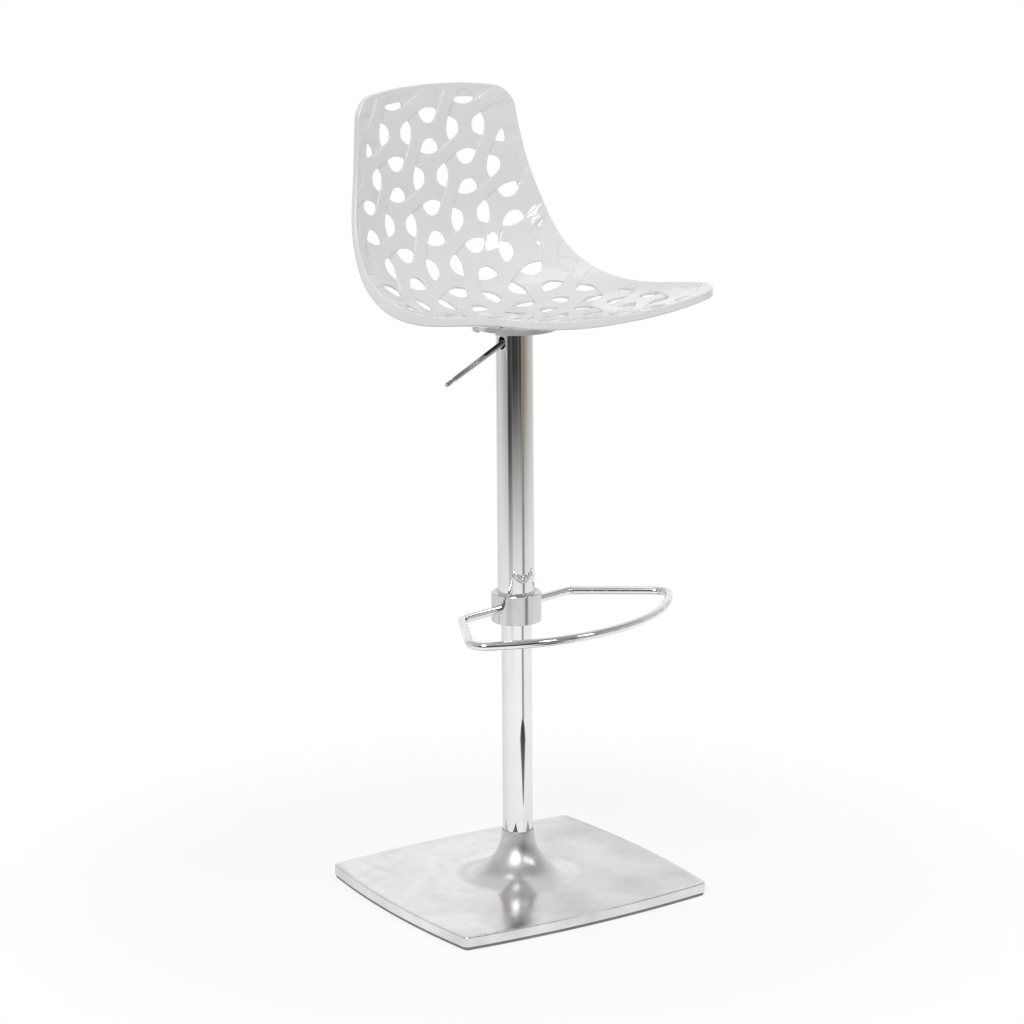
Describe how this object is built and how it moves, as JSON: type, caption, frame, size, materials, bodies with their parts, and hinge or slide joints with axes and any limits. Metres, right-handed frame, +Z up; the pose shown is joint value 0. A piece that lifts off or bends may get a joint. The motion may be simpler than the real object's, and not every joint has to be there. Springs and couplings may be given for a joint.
{
  "type": "pedestal bar stool",
  "caption": "Swivel bar stool: openwork white bucket shell on a telescoping gas-lift column with a rod footrest loop, a release lever and a trumpet-foot square base.",
  "frame": {"origin": "on the floor, on the axis of the column", "axes": "+Z up along the column, -Y towards the front of the seat, the release lever points to -X; the base is turned 14.2 degrees under the seat, as pictured"},
  "size_m": [0.4682, 0.4406, 1.111],
  "materials": {
    "white_plastic": "glossy moulded white",
    "chrome": "bright chrome plate",
    "satin_aluminium": "fine satin brushed casting",
    "rubber": "matt rubber",
    "iron": "black coated",
    "black_plate": "black powder coat",
    "steel": "plain ground steel",
    "zinc": "zinc plated",
    "nylon": "moulded nylon",
    "brass": "knurled brass"
  },
  "bodies": {
    "base": {"base_casting": "satin_aluminium", "base_gasket": "rubber", "ballast_plate": "iron", "casting_screw_1": "zinc", "casting_screw_2": "zinc", "casting_screw_3": "zinc", "casting_screw_4": "zinc", "flange_screw_1": "zinc", "flange_screw_2": "zinc", "flange_screw_3": "zinc", "flange_screw_4": "zinc", "tube_flange": "steel", "column_tube": "chrome", "guide_bush": "nylon", "thrust_washer_lower": "steel"},
    "bearing_cage": {"ball_cage": "steel"},
    "piston_rod": {"piston_rod": "chrome", "piston": "steel", "piston_ring": "rubber", "thrust_washer_upper": "steel", "rod_clip": "steel", "bump_stop": "rubber"},
    "seat_carriage": {"gas_cylinder": "steel", "rod_guide": "nylon", "rod_seal": "rubber", "taper_hub": "steel", "column_sleeve": "chrome", "footrest_collar": "satin_aluminium", "glide_bush": "nylon", "footrest_grub_screw_1": "steel", "footrest_grub_screw_2": "steel", "collar_grub_screw": "steel", "footrest_ring": "chrome", "seat_plate": "black_plate", "lever_bracket": "steel", "lever_pivot_pin": "steel", "seat_shell": "white_plastic", "seat_adapter": "white_plastic", "thread_insert_1": "brass", "thread_insert_2": "brass", "thread_insert_3": "brass", "thread_insert_4": "brass", "seat_screw_1": "zinc", "seat_screw_2": "zinc", "seat_screw_3": "zinc", "seat_screw_4": "zinc"},
    "lever": {"release_lever": "chrome"},
    "valve": {"valve_pin": "steel"}
  },
  "joints": [
    {"name": "seat_swivel", "type": "hinge", "parent": "base", "child": "piston_rod", "pos_m": [0, 0, 0.02], "axis": [0, 0, 1], "continuous": true},
    {"name": "bearing_roll", "type": "hinge", "parent": "base", "child": "bearing_cage", "pos_m": [0, 0, 0.0204], "axis": [0, 0, 1], "continuous": true},
    {"name": "seat_lift", "type": "slide", "parent": "piston_rod", "child": "seat_carriage", "axis": [0, 0, 1], "range_m": [-0.21, 0]},
    {"name": "lever_pull", "type": "hinge", "parent": "seat_carriage", "child": "lever", "pos_m": [-0.0165, 0, 0.7775], "axis": [0, 1, 0], "range_deg": [0, 8], "stiffness_Nm_per_rad": 3},
    {"name": "valve_press", "type": "slide", "parent": "seat_carriage", "child": "valve", "axis": [0, 0, 1], "range_m": [-0.0026, 0]}
  ],
  "couplings": [
    {"joint": "bearing_roll", "follows": "seat_swivel", "ratio": 0.5},
    {"joint": "valve_press", "follows": "lever_pull", "m_per_rad": -0.0165}
  ]
}
